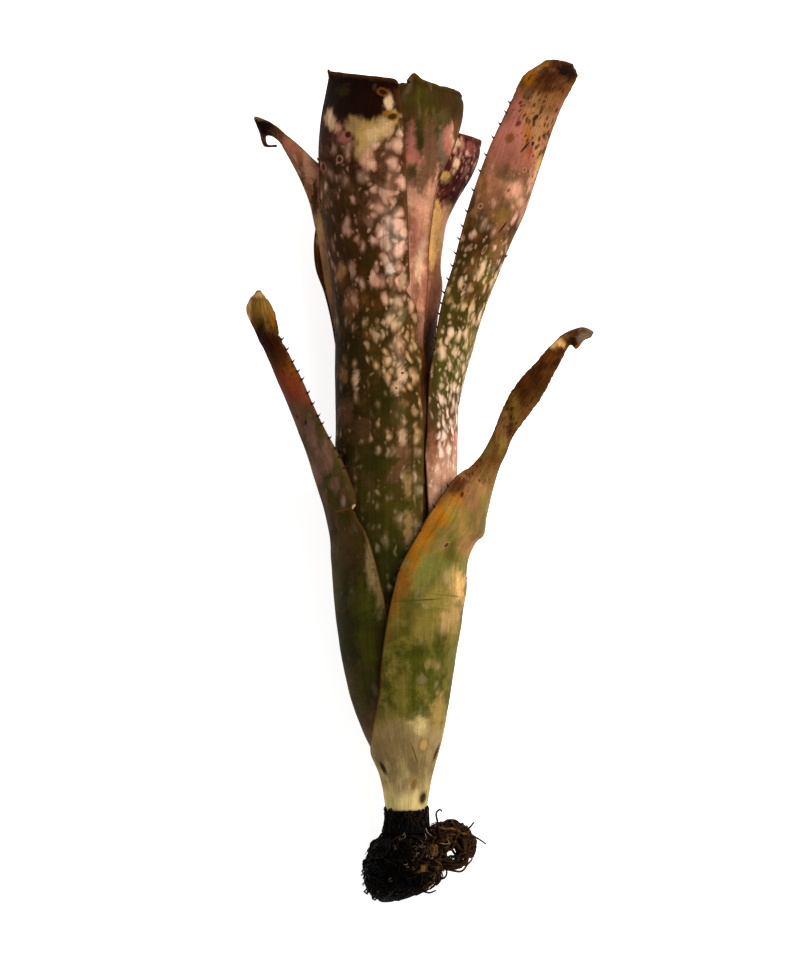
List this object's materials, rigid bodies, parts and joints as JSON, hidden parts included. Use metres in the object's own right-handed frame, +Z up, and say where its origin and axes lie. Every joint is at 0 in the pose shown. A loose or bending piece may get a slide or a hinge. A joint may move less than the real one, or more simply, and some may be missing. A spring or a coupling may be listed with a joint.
{
  "type": "bare-root billbergia",
  "caption": "Bare-root tubular bromeliad lying on its back: strap leaves clasped into a tall narrow tube, tips curled outwards, above a stump of black fibre and a ball of dark wiry roots.",
  "frame": {"origin": "on the surface that the plant lies on, under the middle of its box", "axes": "+Y along the plant from the root ball to the leaf tips, +Z up from the surface to the plant's front, +X to the right as seen from above with the tips away"},
  "size_m": [0.1496, 0.363, 0.0649],
  "materials": {
    "leaf_right_outer": "satin leaf, olive with tan patches, dried brown tip",
    "leaf_left_outer": "satin leaf, olive with mauve bands, straw-coloured dry tip",
    "leaf_front": "glossy leaf, dark olive with cream and pink ovals",
    "leaf_right_tall": "satin leaf, pinkish brown with dark flecks and spines",
    "leaf_front_right": "satin leaf, dark green with pink stripes",
    "leaf_right_inner": "glossy leaf, dark maroon net with cream-pink spots",
    "leaf_back": "satin leaf, dark brown",
    "leaf_left_curled": "satin leaf, pink above and tan below, black dry tip",
    "stem": "dull brown woody stem",
    "fibre": "dry black fibre",
    "roots": "dry dark wiry roots",
    "bark": "rough orange-brown bark"
  },
  "bodies": {
    "root": {"leaf_right_outer": "leaf_right_outer", "leaf_left_outer": "leaf_left_outer", "leaf_front": "leaf_front", "leaf_right_tall": "leaf_right_tall", "leaf_front_right": "leaf_front_right", "leaf_right_inner": "leaf_right_inner", "leaf_back": "leaf_back", "leaf_left_curled": "leaf_left_curled", "stem": "stem", "fibre_collar": "fibre", "root_ball": "roots", "bark_chip_1": "bark", "bark_chip_2": "bark", "bark_chip_3": "bark"}
  },
  "joints": []
}
